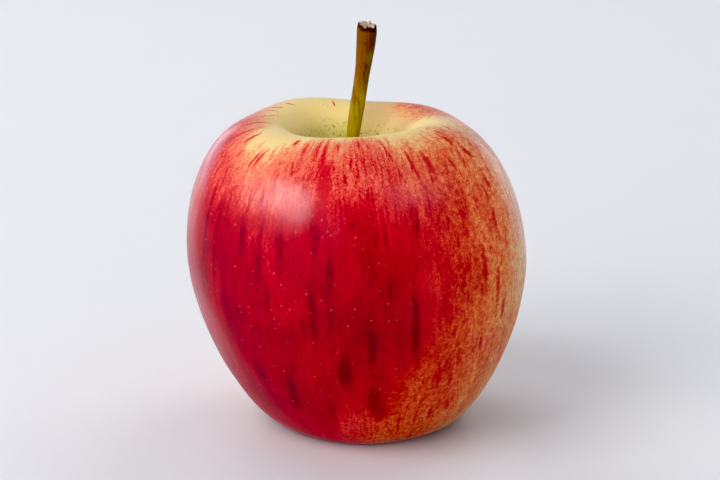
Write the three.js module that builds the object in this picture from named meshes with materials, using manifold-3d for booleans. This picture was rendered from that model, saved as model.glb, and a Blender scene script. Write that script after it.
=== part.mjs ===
// A dessert apple: the fruit, its stem and the dried calyx underneath, as three closed solids.
// Millimetres, +Z up. The fruit stands on the flat ring round its calyx basin, at Z = 0, and the
// origin is under the middle of its bounding box.

import * as THREE from "three";
import { NURBSCurve } from "three/addons/curves/NURBSCurve.js";
import { mergeVertices } from "three/addons/utils/BufferGeometryUtils.js";
import Module from "manifold-3d";

// Outline of the round fruit as [radius, height]: the control points of a clamped cubic B-spline,
// from the middle of the calyx basin, round the widest part, to the floor of the stem cavity.
const OUTLINE = [
  [0, 8.0],
  [3.6, 8.0],
  [6.4, 6.4],
  [9.6, 1.2],
  [14.2, -1.3],
  [21.7, 0.5],
  [28.4, 9.1],
  [34.6, 21.6],
  [37.9, 36.9],
  [35.7, 51.8],
  [30.1, 63.2],
  [22.4, 68.9],
  [13.2, 67.6],
  [8.4, 56.6],
  [5.0, 53.6],
  [2.4, 53.0],
  [0, 53.0],
];
const OUTLINE_DEGREE = 3;
const OUTLINE_STEPS = 54;
const ROUND_STEPS = 65;

// Five lobes, deepest at the crown, and a crown that stands a little higher on one diagonal.
const LOBES = 5;
const LOBE_AZIMUTH = THREE.MathUtils.degToRad(48);
const LOBE_DEPTH = 0.03; // of the radius, at the crown
const LOBE_FROM = 14; // height where the lobes start
const CROWN_FROM = 31.5; // height where the crown's unevenness starts
const CROWN_HEIGHT = 70;
const CROWN_LOBE_RISE = 0.2;
const CROWN_SADDLE_RISE = 0.5;
const CROWN_SADDLE_AZIMUTH = THREE.MathUtils.degToRad(140);
const CROWN_EDGE_RADIUS = 14; // inside this radius the unevenness fades into the cavity

// Five low feet round the calyx basin, flattened where they touch the surface.
const FOOT_DROP = 0.35;
const FOOT_HEIGHT = 12;
const FOOT_INNER_RADIUS = 4;
const FOOT_OUTER_RADIUS = 12;

// The whole fruit leans: each level moves sideways by this much per millimetre of height.
const LEAN = -0.043;
const LEAN_PIVOT = 38.5;
const CENTRE = new THREE.Vector2(-0.23, -0.38); // middle of the leaning fruit's box

// Stem: [height, radius] from the root to the swollen end, and its sideways bend.
const STEM_OUTLINE = [
  [50.0, 1.35],
  [53.0, 1.55],
  [58.0, 1.4],
  [64.0, 1.38],
  [70.0, 1.5],
  [76.0, 1.53],
  [80.0, 1.66],
  [84.0, 1.88],
  [87.0, 2.1],
  [88.2, 2.04],
];
const STEM_STEPS = 30;
const STEM_SIDES = 20;
const STEM_RIDGES = 5;
const STEM_RIDGE_DEPTH = 0.045; // of the radius
const STEM_TWIST = 0.02; // radians of the ridges' turn per millimetre
const STEM_ROOT_X = -1.65;
const STEM_SWAY = 4.2;
const STEM_SWAY_FROM = 52;
const STEM_SWAY_TO = 92;
const STEM_END_TILT = new THREE.Vector2(-0.15, 0.24); // rise of the broken end per millimetre
const STEM_END_FROM = 84;
const STEM_END_DISH = 0.35;

// Calyx: a button in the floor of the basin, five dried sepals and the tuft of dried stamens.
const SEPALS = 5;
const BUTTON_RADIUS = 2.7;
const BUTTON_BOTTOM = 6.6;
const BUTTON_TOP = 9.0;
const SEPAL_LENGTH = 5.6;
const SEPAL_WIDTH = 3.0;
const SEPAL_THICKNESS = 0.75;
const SEPAL_TIP_SHARE = 0.2; // width of the tip as a share of the widest
const SEPAL_ROOT_RADIUS = 1.5;
const SEPAL_ROOT_HEIGHT = 7.1;
const SEPAL_SPREAD = [0.35, 0.15, 0.5, 0.25, 0.4]; // radians from the level, at the root
const SEPAL_CURL = [1.5, 2.0, 1.2, 1.7, 1.4]; // radians that each sepal curls down to its tip
const STAMENS = 6;
const STAMEN_RADIUS = 0.34;
const STAMEN_LENGTH = 3.4;
const STAMEN_RING = 1.0;

const GAP = 0.3; // between pieces that touch

const { smoothstep } = THREE.MathUtils;

const wasm = await Module();
wasm.setup();

// A closed geometry as a solid for joining and cutting.
function toSolid(geometry) {
  const bare = geometry.clone();
  bare.deleteAttribute("normal");
  bare.deleteAttribute("uv");
  const merged = mergeVertices(bare, 1e-4);
  return new wasm.Manifold(
    new wasm.Mesh({
      numProp: 3,
      vertProperties: merged.attributes.position.array,
      triVerts: new Uint32Array(merged.index.array),
    }),
  );
}

function toGeometry(solid) {
  const { vertProperties, triVerts } = solid.getMesh();
  const geometry = new THREE.BufferGeometry();
  geometry.setAttribute("position", new THREE.BufferAttribute(vertProperties, 3));
  geometry.setIndex(new THREE.BufferAttribute(triVerts, 1));
  geometry.computeVertexNormals();
  return geometry;
}

// Moves every vertex of a geometry with shape(point), which changes the point in place.
function deform(geometry, shape) {
  const position = geometry.getAttribute("position");
  const point = new THREE.Vector3();
  for (let i = 0; i < position.count; i += 1) {
    point.fromBufferAttribute(position, i);
    shape(point);
    position.setXYZ(i, point.x, point.y, point.z);
  }
  return geometry;
}

// A solid of revolution about Z from [radius, height] points that go from bottom to top.
function revolve(profile, sides) {
  return new THREE.LatheGeometry(profile, sides).rotateX(Math.PI / 2);
}

// Evenly spaced points of the clamped B-spline through OUTLINE.
function fruitProfile() {
  const spans = OUTLINE.length - OUTLINE_DEGREE;
  const inner = Array.from({ length: spans - 1 }, (_, i) => (i + 1) / spans);
  const ends = OUTLINE_DEGREE + 1;
  const knots = [...Array(ends).fill(0), ...inner, ...Array(ends).fill(1)];
  const controls = OUTLINE.map(([radius, height]) => new THREE.Vector4(radius, height, 0, 1));
  const curve = new NURBSCurve(OUTLINE_DEGREE, knots, controls);
  return curve.getSpacedPoints(OUTLINE_STEPS).map((p) => new THREE.Vector2(Math.max(p.x, 0), p.y));
}

// Lobes, uneven crown, feet and lean, applied to one point of the round fruit.
function shapeFruit(point) {
  const radius = Math.hypot(point.x, point.y);
  const azimuth = Math.atan2(point.y, point.x);
  const height = point.z;
  const lobe = Math.cos(LOBES * (azimuth - LOBE_AZIMUTH));
  const saddle = Math.cos(2 * (azimuth - CROWN_SADDLE_AZIMUTH));

  const swell = 1 + LOBE_DEPTH * lobe * smoothstep(height, LOBE_FROM, CROWN_HEIGHT);
  const crown = smoothstep(height, CROWN_FROM, CROWN_HEIGHT) * smoothstep(radius, 0, CROWN_EDGE_RADIUS);
  const foot =
    (1 - smoothstep(height, 0, FOOT_HEIGHT)) * smoothstep(radius, FOOT_INNER_RADIUS, FOOT_OUTER_RADIUS);

  point.z += crown * (CROWN_LOBE_RISE * lobe + CROWN_SADDLE_RISE * saddle) - foot * FOOT_DROP * lobe;
  point.x = point.x * swell + LEAN * (point.z - LEAN_PIVOT) - CENTRE.x;
  point.y = point.y * swell - CENTRE.y;
  point.z = Math.max(point.z, 0);
}

// The stem, or with a clearance the hole that its root sits in.
function stemGeometry(clearance = 0) {
  const side = new THREE.SplineCurve(STEM_OUTLINE.map(([height, radius]) => new THREE.Vector2(radius, height)));
  const wall = side.getPoints(STEM_STEPS).map((p) => new THREE.Vector2(p.x + clearance, p.y));
  const root = wall[0].y - clearance;
  const end = wall[wall.length - 1];
  const profile = [
    new THREE.Vector2(0, root),
    new THREE.Vector2(0.7 * wall[0].x, root),
    ...wall,
    new THREE.Vector2(0.82 * end.x, end.y + 0.25),
    new THREE.Vector2(0.4 * end.x, end.y - STEM_END_DISH),
    new THREE.Vector2(0, end.y - STEM_END_DISH),
  ];
  return deform(revolve(profile, STEM_SIDES), shapeStem);
}

// Ridges along the stem, the tilt of its broken end and its bend.
function shapeStem(point) {
  const azimuth = Math.atan2(point.y, point.x);
  const ridge = 1 + STEM_RIDGE_DEPTH * Math.cos(STEM_RIDGES * (azimuth - STEM_TWIST * point.z));
  point.x *= ridge;
  point.y *= ridge;
  const end = smoothstep(point.z, STEM_END_FROM, STEM_OUTLINE[STEM_OUTLINE.length - 1][0]);
  const bend = STEM_ROOT_X + STEM_SWAY * smoothstep(point.z, STEM_SWAY_FROM, STEM_SWAY_TO);
  point.z += end * (STEM_END_TILT.x * point.x + STEM_END_TILT.y * point.y);
  point.x += bend - CENTRE.x;
  point.y -= CENTRE.y;
}

// The round button that carries the sepals, or with a clearance the hole that it sits in.
function buttonGeometry(clearance = 0) {
  const radius = BUTTON_RADIUS + clearance;
  const top = BUTTON_TOP + clearance;
  const profile = [
    [0, BUTTON_BOTTOM],
    [0.8 * radius, BUTTON_BOTTOM],
    [radius, BUTTON_BOTTOM + 0.7],
    [radius, top],
    [0, top],
  ];
  return revolve(
    profile.map(([r, z]) => new THREE.Vector2(r, z)),
    24,
  );
}

// One sepal: a strip that narrows to its tip and curls down from the button's edge.
function sepalGeometry(spread, curl, azimuth) {
  const strip = new THREE.BoxGeometry(SEPAL_LENGTH, SEPAL_WIDTH, SEPAL_THICKNESS, 9, 4, 1);
  return deform(strip, (point) => {
    const along = point.x / SEPAL_LENGTH + 0.5;
    const taper = 1 - (1 - SEPAL_TIP_SHARE) * along ** 1.5;
    const across = point.y * taper;
    const cup = 0.5 * (point.y / SEPAL_WIDTH) ** 2 * 4;
    const thick = point.z * (1 - 0.15 * along) + cup * (1 - along);
    const turn = spread + curl * along;
    const middle = spread + 0.5 * curl * along;
    const reach = SEPAL_ROOT_RADIUS + SEPAL_LENGTH * along * Math.cos(middle);
    const drop = SEPAL_ROOT_HEIGHT - SEPAL_LENGTH * along * Math.sin(middle);
    point.set(reach + thick * Math.sin(turn), across, drop + thick * Math.cos(turn));
  }).rotateZ(azimuth);
}

// One dried stamen, leaning out from the middle of the button.
function stamenGeometry(azimuth, length) {
  return new THREE.CylinderGeometry(1.25 * STAMEN_RADIUS, STAMEN_RADIUS, length, 8)
    .rotateX(-Math.PI / 2)
    .translate(0, 0, -0.5 * length)
    .rotateY(-0.22)
    .translate(STAMEN_RING, 0, BUTTON_BOTTOM + 0.5)
    .rotateZ(azimuth);
}

function calyxSolid() {
  let solid = toSolid(buttonGeometry());
  for (let i = 0; i < SEPALS; i += 1) {
    const azimuth = LOBE_AZIMUTH + (2 * Math.PI * (i + 0.5)) / SEPALS;
    solid = solid.add(toSolid(sepalGeometry(SEPAL_SPREAD[i], SEPAL_CURL[i], azimuth)));
  }
  for (let i = 0; i < STAMENS; i += 1) {
    const length = STAMEN_LENGTH * (1 - 0.12 * (i % 3));
    solid = solid.add(toSolid(stamenGeometry((2 * Math.PI * i) / STAMENS, length)));
  }
  return solid;
}

function named(name, geometry, material) {
  const mesh = new THREE.Mesh(geometry, new THREE.MeshStandardMaterial(material));
  mesh.name = name;
  return mesh;
}

const calyxX = LEAN * (BUTTON_BOTTOM - LEAN_PIVOT) - CENTRE.x;
const round = toSolid(deform(revolve(fruitProfile(), ROUND_STEPS), shapeFruit));
const stemHole = toSolid(stemGeometry(GAP));
const calyxHole = toSolid(buttonGeometry(GAP).translate(calyxX, -CENTRE.y, 0));

const fruit = named("fruit", toGeometry(round.subtract(stemHole).subtract(calyxHole)), {
  color: 0xc0202a,
  roughness: 0.32,
  metalness: 0,
});
const stem = named("stem", stemGeometry(), { color: 0x8a6a1c, roughness: 0.7, metalness: 0 });
const calyx = named("calyx", toGeometry(calyxSolid()), { color: 0x4a3524, roughness: 0.9, metalness: 0 });
calyx.position.set(calyxX, -CENTRE.y, 0);

const apple = new THREE.Group();
apple.add(fruit, stem, calyx);

export default apple;
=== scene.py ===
"""A red dessert apple: its skin, woody stem and dried calyx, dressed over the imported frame."""

import logging
import math
from dataclasses import dataclass
from enum import Enum
from typing import Optional, Sequence, Union

import bpy
import numpy as np
from bpy.types import Material, Mesh, Node, NodeSocket, Object
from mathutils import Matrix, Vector


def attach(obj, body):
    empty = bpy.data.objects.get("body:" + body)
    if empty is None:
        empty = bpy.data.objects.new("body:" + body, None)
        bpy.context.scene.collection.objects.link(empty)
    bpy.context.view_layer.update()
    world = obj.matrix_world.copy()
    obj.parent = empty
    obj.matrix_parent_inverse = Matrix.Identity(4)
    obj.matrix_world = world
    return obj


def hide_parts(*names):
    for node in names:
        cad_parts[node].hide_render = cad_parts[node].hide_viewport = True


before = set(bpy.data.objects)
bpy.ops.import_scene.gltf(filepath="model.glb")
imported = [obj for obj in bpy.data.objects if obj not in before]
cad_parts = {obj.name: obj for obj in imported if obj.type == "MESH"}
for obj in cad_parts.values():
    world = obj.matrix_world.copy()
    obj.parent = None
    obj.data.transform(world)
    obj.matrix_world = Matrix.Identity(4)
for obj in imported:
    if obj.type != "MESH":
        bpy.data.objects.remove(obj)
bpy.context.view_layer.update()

LOG = logging.getLogger("apple")
MM = 0.001
BODY = "root"
WHITE = (1.0, 1.0, 1.0)


class Packed(Enum):
    """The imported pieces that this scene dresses."""

    FRUIT = "fruit"
    STEM = "stem"
    CALYX = "calyx"


class Slot(Enum):
    """The record's material slots."""

    SKIN = "skin"
    STEM = "stem"
    CALYX = "calyx"


class Attribute(Enum):
    """Named numbers and vectors on the points of a mesh."""

    MERIDIAN = "meridian"
    BLUSH = "blush"
    ACCENT = "accent"
    SHADE = "shade"
    GROUND = "ground"
    ALONG = "along"
    STAMEN = "stamen"
    AZIMUTH = "azimuth"
    SPREAD = "spread"
    SHARE = "share"
    RING = "ring"


# ---------------------------------------------------------------- node trees


class Value:
    """A number socket of a node tree that takes part in Python arithmetic."""

    def __init__(self, graph: "Graph", socket: NodeSocket) -> None:
        """Wraps one output socket of the graph's tree."""
        self.graph = graph
        self.socket = socket

    def _math(self, operation: str, *operands: "Number") -> "Value":
        """The result of a Math node on the operands."""
        made = self.graph.node("ShaderNodeMath", {"operation": operation}, dict(enumerate(operands)))
        return Value(self.graph, made.outputs[0])

    def __add__(self, other: "Number") -> "Value":
        """self + other."""
        return self._math("ADD", self, other)

    __radd__ = __add__

    def __sub__(self, other: "Number") -> "Value":
        """self - other."""
        return self._math("SUBTRACT", self, other)

    def __rsub__(self, other: "Number") -> "Value":
        """other - self."""
        return self._math("SUBTRACT", other, self)

    def __mul__(self, other: "Number") -> "Value":
        """self * other."""
        return self._math("MULTIPLY", self, other)

    __rmul__ = __mul__

    def __truediv__(self, other: "Number") -> "Value":
        """self / other."""
        return self._math("DIVIDE", self, other)

    def __pow__(self, other: "Number") -> "Value":
        """self to the power of other."""
        return self._math("POWER", self, other)

    def cos(self) -> "Value":
        """Cosine of an angle in radians."""
        return self._math("COSINE", self)

    def sin(self) -> "Value":
        """Sine of an angle in radians."""
        return self._math("SINE", self)

    def at_least(self, other: "Number") -> "Value":
        """The larger of self and other."""
        return self._math("MAXIMUM", self, other)

    def smooth(self, low: "Number", high: "Number") -> "Value":
        """Smooth step from 0 at low to 1 at high.

        Args:
            low: where the step starts.
            high: where it ends; it may be the smaller number, for a step down.

        Returns:
            A value from 0 to 1.
        """
        made = self.graph.node(
            "ShaderNodeMapRange",
            {"interpolation_type": "SMOOTHSTEP"},
            {"Value": self, "From Min": low, "From Max": high, "To Min": 0.0, "To Max": 1.0},
        )
        return Value(self.graph, made.outputs[0])


Number = Union[float, Value]
Input = Union[float, int, str, Sequence[float], Value, NodeSocket, Material]
Places = tuple[NodeSocket, Value]  # where each point goes, and its share along the body


class Graph:
    """A node tree, of a material, a world or a geometry group, with one way to add a node."""

    def __init__(self, tree: bpy.types.NodeTree) -> None:
        """Wraps an empty tree."""
        self.tree = tree

    def node(self, kind: str, settings: Optional[dict] = None, sockets: Optional[dict] = None) -> Node:
        """Adds a node.

        Args:
            kind: the node's type.
            settings: its properties, set before its sockets; "stops" are a colour ramp's.
            sockets: values or links for its inputs, by name or by index.

        Returns:
            The new node.
        """
        made = self.tree.nodes.new(kind)
        for name, setting in (settings or {}).items():
            if name == "stops":
                self._set_stops(made.color_ramp, setting)
            else:
                setattr(made, name, setting)
        for key, given in (sockets or {}).items():
            socket = made.inputs[key]
            source = given.socket if isinstance(given, Value) else given
            if isinstance(source, NodeSocket):
                self.tree.links.new(source, socket)
            else:
                socket.default_value = source
        return made

    @staticmethod
    def _set_stops(ramp: bpy.types.ColorRamp, stops: Sequence[tuple]) -> None:
        """Sets a ramp's stops.

        Args:
            ramp: the ramp, with its two first stops.
            stops: (position, colour) pairs in order.
        """
        while len(ramp.elements) < len(stops):
            ramp.elements.new(0.5)
        for element, (position, colour) in zip(ramp.elements, stops):
            element.position = position
            element.color = (*colour, 1.0)

    def value(self, node: Node, output: Union[int, str] = 0) -> Value:
        """One output of a node as a Value."""
        return Value(self, node.outputs[output])

    def vector(self, operation: str, *operands: Input) -> NodeSocket:
        """The result of a Vector Math node on the operands."""
        made = self.node("ShaderNodeVectorMath", {"operation": operation}, dict(enumerate(operands)))
        return made.outputs["Vector"]

    def scaled(self, vector: Input, factor: Number) -> NodeSocket:
        """A vector times a number."""
        made = self.node("ShaderNodeVectorMath", {"operation": "SCALE"}, {0: vector, "Scale": factor})
        return made.outputs["Vector"]

    def parts(self, vector: Input) -> tuple[Value, Value, Value]:
        """The x, y and z of a vector."""
        made = self.node("ShaderNodeSeparateXYZ", {}, {0: vector})
        return tuple(Value(self, output) for output in made.outputs)

    def joined(self, x: Number, y: Number, z: Number) -> NodeSocket:
        """A vector from its x, y and z."""
        return self.node("ShaderNodeCombineXYZ", {}, {0: x, 1: y, 2: z}).outputs[0]

    def noise(
        self, vector: Input, detail: float, roughness: float, scale: Union[float, tuple] = 1.0
    ) -> Value:
        """Fractal noise, about 0.5 on average.

        Args:
            vector: where it is read.
            detail: octaves above the first.
            roughness: share of the finer octaves.
            scale: times the vector; three numbers draw the noise out.

        Returns:
            The noise's value.
        """
        if isinstance(scale, tuple):
            vector = self.vector("MULTIPLY", vector, scale)
            scale = 1.0
        sockets = {"Vector": vector, "Scale": scale, "Detail": detail, "Roughness": roughness}
        return self.value(self.node("ShaderNodeTexNoise", {}, sockets))

    def mix(self, factor: Number, first: Input, second: Input) -> NodeSocket:
        """A colour that goes from first to second with the factor.

        Args:
            factor: 0 for the first, 1 for the second.
            first: a colour or a colour socket.
            second: a colour or a colour socket.

        Returns:
            The mixed colour's socket.
        """
        settings = {"data_type": "RGBA", "blend_type": "MIX"}
        made = self.node("ShaderNodeMix", settings, {0: factor, 6: _rgba(first), 7: _rgba(second)})
        return made.outputs[2]

    def tinted(self, factor: Number, colour: NodeSocket, tint: tuple) -> NodeSocket:
        """A colour multiplied by a tint as far as the factor goes."""
        return self.mix(factor, colour, self.vector("MULTIPLY", colour, tint))

    def bump(self, strength: float, distance: float, height: Value) -> NodeSocket:
        """A normal that follows small changes of height, over a distance in metres."""
        sockets = {"Strength": strength, "Distance": distance, "Height": height}
        return self.node("ShaderNodeBump", {}, sockets).outputs[0]


class Group(Graph):
    """A geometry node group with named sizes, which ends in real geometry with its finish set."""

    FINISH = "Finish"

    def __init__(self, name: str, source: str, sizes: dict) -> None:
        """Makes the group and its inputs.

        Args:
            name: the group's name.
            source: the name of the geometry input that it starts from.
            sizes: the default of each named size; a whole number makes a whole input.
        """
        super().__init__(bpy.data.node_groups.new(name, "GeometryNodeTree"))
        self._input(source, "Geometry")
        for label, size in sizes.items():
            self._input(label, "Int" if isinstance(size, int) else "Float").default_value = size
        self._input(self.FINISH, "Material")
        self.tree.interface.new_socket("Result", in_out="OUTPUT", socket_type="NodeSocketGeometry")
        self.given = self.node("NodeGroupInput").outputs

    def _input(self, name: str, kind: str) -> bpy.types.NodeTreeInterfaceSocket:
        """Adds a named input."""
        return self.tree.interface.new_socket(name, in_out="INPUT", socket_type=f"NodeSocket{kind}")

    def size(self, label: str) -> Value:
        """One of the named sizes."""
        return Value(self, self.given[label])

    def here(self) -> NodeSocket:
        """Each point's place."""
        return self.node("GeometryNodeInputPosition").outputs[0]

    def read(self, name: Attribute) -> Value:
        """A named number of each point."""
        made = self.node("GeometryNodeInputNamedAttribute", {"data_type": "FLOAT"}, {"Name": name.value})
        return self.value(made, "Attribute")

    def store(
        self, body: NodeSocket, name: str, value: Input, kind: str = "FLOAT", domain: str = "POINT"
    ) -> NodeSocket:
        """Stores a named attribute.

        Args:
            body: the geometry.
            name: the attribute's name.
            value: what is stored.
            kind: its data type.
            domain: what holds it.

        Returns:
            The geometry with the attribute.
        """
        settings = {"data_type": kind, "domain": domain}
        sockets = {"Geometry": body, "Name": name, "Value": value}
        return self.node("GeometryNodeStoreNamedAttribute", settings, sockets).outputs[0]

    def moved(self, body: NodeSocket, place: NodeSocket) -> NodeSocket:
        """The geometry with each point at its place in millimetres."""
        sockets = {"Geometry": body, "Position": self.scaled(place, MM)}
        return self.node("GeometryNodeSetPosition", {}, sockets).outputs[0]

    def end(self, body: NodeSocket) -> None:
        """Ends the group in smooth, real geometry with its finish set.

        Args:
            body: the geometry.
        """
        soft = self.node("GeometryNodeSetShadeSmooth", {}, {0: body})
        real = self.node("GeometryNodeRealizeInstances", {}, {0: soft.outputs[0]})
        sockets = {"Geometry": real.outputs[0], "Material": self.given[self.FINISH]}
        final = self.node("GeometryNodeSetMaterial", {}, sockets)
        self.node("NodeGroupOutput", {}, {0: final.outputs[0]})

    def run(self, host: Object, finish: Material, name: str) -> Object:
        """Runs the group on a host object, which the result replaces.

        Args:
            host: the object whose geometry the group starts from.
            finish: the result's material.
            name: the result's name.

        Returns:
            A plain mesh object at the origin, with no modifier.
        """
        modifier = host.modifiers.new(self.tree.name, "NODES")
        modifier.node_group = self.tree
        for item in self.tree.interface.items_tree:
            if item.name == self.FINISH:
                modifier[item.identifier] = finish
        bpy.context.view_layer.update()
        evaluated = host.evaluated_get(bpy.context.evaluated_depsgraph_get())
        mesh = bpy.data.meshes.new_from_object(evaluated)
        mesh.name = name
        bpy.data.objects.remove(host)
        return placed(name, mesh)


def _rgba(colour: Input) -> Input:
    """A colour with its alpha, or the socket it was given."""
    return (*colour, 1.0) if isinstance(colour, tuple) else colour


def srgb(red: int, green: int, blue: int) -> tuple[float, float, float]:
    """A screen colour of 0 to 255 as a linear one of 0 to 1.

    Args:
        red: red on the screen.
        green: green on the screen.
        blue: blue on the screen.

    Returns:
        The linear colour.
    """
    shares = (channel / 255.0 for channel in (red, green, blue))
    return tuple(c / 12.92 if c <= 0.04045 else ((c + 0.055) / 1.055) ** 2.4 for c in shares)


def step(values: np.ndarray, low: float, high: float) -> np.ndarray:
    """Smooth step on an array.

    Args:
        values: what is read.
        low: where the step starts.
        high: where it ends; it may be the smaller number.

    Returns:
        Numbers from 0 to 1.
    """
    share = np.clip((values - low) / (high - low), 0.0, 1.0)
    return share * share * (3.0 - 2.0 * share)


# ---------------------------------------------------------------- finishes


class Finish:
    """A procedural material that is built once, from its own colours and sizes."""

    name = "finish"

    def build(self) -> Material:
        """Makes the material and its tree.

        Returns:
            The finished material.
        """
        material = bpy.data.materials.new(self.name)
        material.use_nodes = True
        material.node_tree.nodes.clear()
        graph = Graph(material.node_tree)
        shader = graph.node("ShaderNodeBsdfPrincipled", {}, self.sockets(graph))
        graph.node("ShaderNodeOutputMaterial", {}, {"Surface": shader.outputs[0]})
        return material

    def sockets(self, graph: Graph) -> dict:
        """What the shader's sockets hold or are linked to, by name."""
        raise NotImplementedError

    @staticmethod
    def attribute(graph: Graph, name: Attribute) -> Node:
        """The node that reads one of the mesh's named attributes."""
        return graph.node("ShaderNodeAttribute", {"attribute_name": name.value})

    def number(self, graph: Graph, name: Attribute) -> Value:
        """A named number of the mesh's points."""
        return graph.value(self.attribute(graph, name), "Fac")

    @staticmethod
    def place(graph: Graph) -> NodeSocket:
        """Object coordinates in millimetres."""
        here = graph.node("ShaderNodeTexCoord").outputs["Object"]
        return graph.scaled(here, 1.0 / MM)


@dataclass(frozen=True)
class Spot:
    """Where a point of the skin lies, as the skin's rules read it."""

    place: NodeSocket  # Object coordinates in millimetres
    meridian: NodeSocket  # a place on a straight cylinder, with from_stem as its height
    north: Value  # millimetres, on that cylinder
    from_stem: Value  # millimetres along the skin from the middle of the stem cavity
    facing: Value  # how sunny it is: 1 on the upper sunny side, 0 at the back


@dataclass(frozen=True)
class Skin(Finish):
    """Waxy skin: a straw-coloured ground under red pigment in streaks and mottles, with lenticels."""

    name: str = "apple_skin"
    moss: tuple = (0.52, 0.47, 0.09)
    straw: tuple = (0.84, 0.63, 0.24)
    cream: tuple = (0.76, 0.54, 0.24)
    # Painted shade: the darker buff that the bare ground takes on the back, away from the sunny side.
    shaded_buff: tuple = (0.56, 0.34, 0.17)
    sunny: tuple = (
        (0.12, (0.76, 0.34, 0.15)),
        (0.28, (0.74, 0.195, 0.10)),
        (0.43, (0.73, 0.11, 0.066)),
        (0.56, (0.60, 0.030, 0.028)),
        (0.70, (0.44, 0.006, 0.015)),
        (0.84, (0.30, 0.002, 0.012)),
        (1.00, (0.16, 0.001, 0.012)),
    )
    shady: tuple = (
        (0.12, (0.78, 0.42, 0.18)),
        (0.28, (0.75, 0.22, 0.078)),
        (0.43, (0.65, 0.092, 0.032)),
        (0.56, (0.50, 0.030, 0.015)),
        (0.70, (0.38, 0.006, 0.016)),
        (0.84, (0.25, 0.002, 0.016)),
        (1.00, (0.15, 0.001, 0.011)),
    )
    speck: tuple = (0.62, 0.55, 0.60)
    dot: tuple = (0.62, 0.16, 0.14)
    russet: tuple = (0.20, 0.15, 0.03)
    # Painted shade: a darker, browner tint for the lower side, away from the sunny front.
    painted_shade_tint: tuple = (0.88, 0.92, 0.66)
    # How much of its colour each mark lays over the one below.
    basin_moss: float = 0.6
    shaded_back_cover: float = 0.7
    speck_cover: float = 0.40
    dot_cover: float = 0.42
    russet_cover: float = 0.85
    # What each grain adds to the pigment; two numbers are for where red meets ground and for everywhere.
    dashes: float = 0.34
    lines: float = 0.34
    mottles: float = 0.7
    flecks: float = 0.64
    threads: float = 0.16
    bands: tuple = (0.20, 0.12)
    patches: float = 0.2
    shady_specks: float = 0.60
    sunny_specks: float = 0.34
    stroke: float = 0.65  # the pigment of a stroke
    stroke_cover: float = 0.85
    smear: float = 0.19  # what a smear adds
    dot_pigment: float = 0.22  # what a lenticel adds on pale skin
    gloss: float = 0.2  # of the coat, seen square on
    bloom: float = 0.95  # of the coat, where the wax is thickest
    lower_shade: float = 0.22  # how much less sunny the lower half is
    sunniest: float = 232.0  # degrees round the fruit
    width: float = 72.0  # millimetres, from the sunny side to the back
    band_scale: tuple = (0.26, 0.26, 0.045)
    dash_scale: tuple = (0.80, 0.80, 0.30)
    line_scale: tuple = (1.7, 1.7, 0.22)
    thread_scale: tuple = (1.15, 1.15, 0.15)
    bloom_scale: tuple = (0.9, 0.9, 0.2)
    cell_scale: tuple = (0.75, 0.75, 0.4)

    def sockets(self, graph: Graph) -> dict:
        """What the shader's sockets hold or are linked to.

        Args:
            graph: the material's tree.

        Returns:
            Values and links by socket name.
        """
        spot = self._spot(graph)
        dots = self._dots(graph, spot)
        grazing = graph.value(graph.node("ShaderNodeLayerWeight", {}, {"Blend": 0.5}), "Facing")
        haze = self._haze(graph, spot, grazing)
        ripple = graph.noise(spot.place, 3.0, 0.6, 0.45)
        pores = graph.noise(spot.place, 1.0, 0.5, 3.2)
        return {
            "Base Color": self._colour(graph, spot, dots),
            "Roughness": 0.44 + 0.12 * pores,
            "IOR": 1.4,
            "Specular IOR Level": 0.07,
            "Subsurface Weight": 0.05,
            "Subsurface Radius": (1.0, 0.25, 0.12),
            "Subsurface Scale": 0.001,
            "Sheen Weight": 0.2,
            "Sheen Roughness": 0.2,
            "Sheen Tint": (0.88, 0.92, 1.0, 1.0),
            "Coat Weight": self.gloss * grazing.smooth(0.92, 0.66) + self.bloom * haze,
            "Coat Roughness": 0.24,
            "Coat IOR": 1.6,
            "Normal": graph.bump(0.45, 0.0002, ripple + 0.16 * pores + 0.2 * dots),
        }

    def _spot(self, graph: Graph) -> Spot:
        """Reads where each point of the skin lies.

        Args:
            graph: the material's tree.

        Returns:
            The place, the meridian and how sunny it is.
        """
        sun = math.radians(self.sunniest)
        meridian = self.attribute(graph, Attribute.MERIDIAN).outputs["Vector"]
        east, north, from_stem = graph.parts(meridian)
        turned = (east * math.cos(sun) + north * math.sin(sun)) / self.width
        facing = 0.5 + turned - self.lower_shade * from_stem.smooth(60.0, 95.0)
        return Spot(self.place(graph), meridian, north, from_stem, facing)

    def _colour(self, graph: Graph, spot: Spot, dots: Value) -> NodeSocket:
        """The skin's colour: bare ground, pigment over it, painted shade on the lower side, then the small
        marks.

        Args:
            graph: the material's tree.
            spot: where the point lies.
            dots: the lenticels.

        Returns:
            The colour's socket.
        """
        pigment = self._pigment(graph, spot, dots)
        ground = self.number(graph, Attribute.GROUND)
        sunny, shady = (
            graph.node("ShaderNodeValToRGB", {"stops": stops}, {"Fac": pigment}).outputs[0]
            for stops in (self.sunny, self.shady)
        )
        red = graph.mix(spot.facing.smooth(0.86, 0.58), sunny, shady)
        covered = pigment.smooth(-0.02, 0.15)
        colour = graph.mix(covered, self._bare(graph, spot, ground), red)
        # Painted shade: the lower side, away from the sunny front, is darkened and browned by a tint.
        shaded_lower_side = spot.from_stem.smooth(48.0, 66.0) * spot.facing.smooth(0.78, 0.55)
        colour = graph.tinted(shaded_lower_side, colour, self.painted_shade_tint)
        coral = pigment.smooth(0.66, 0.45) * pigment.smooth(0.05, 0.25)
        fine = graph.noise(spot.place, 2.0, 0.7, 1.5).smooth(0.48, 0.70)
        colour = graph.tinted(self.speck_cover * fine * coral, colour, self.speck)
        colour = graph.mix(self.dot_cover * dots * pigment.smooth(0.45, 0.75), colour, self.dot)
        return graph.mix(self._russet(graph, spot, ground), colour, self.russet)

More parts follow.
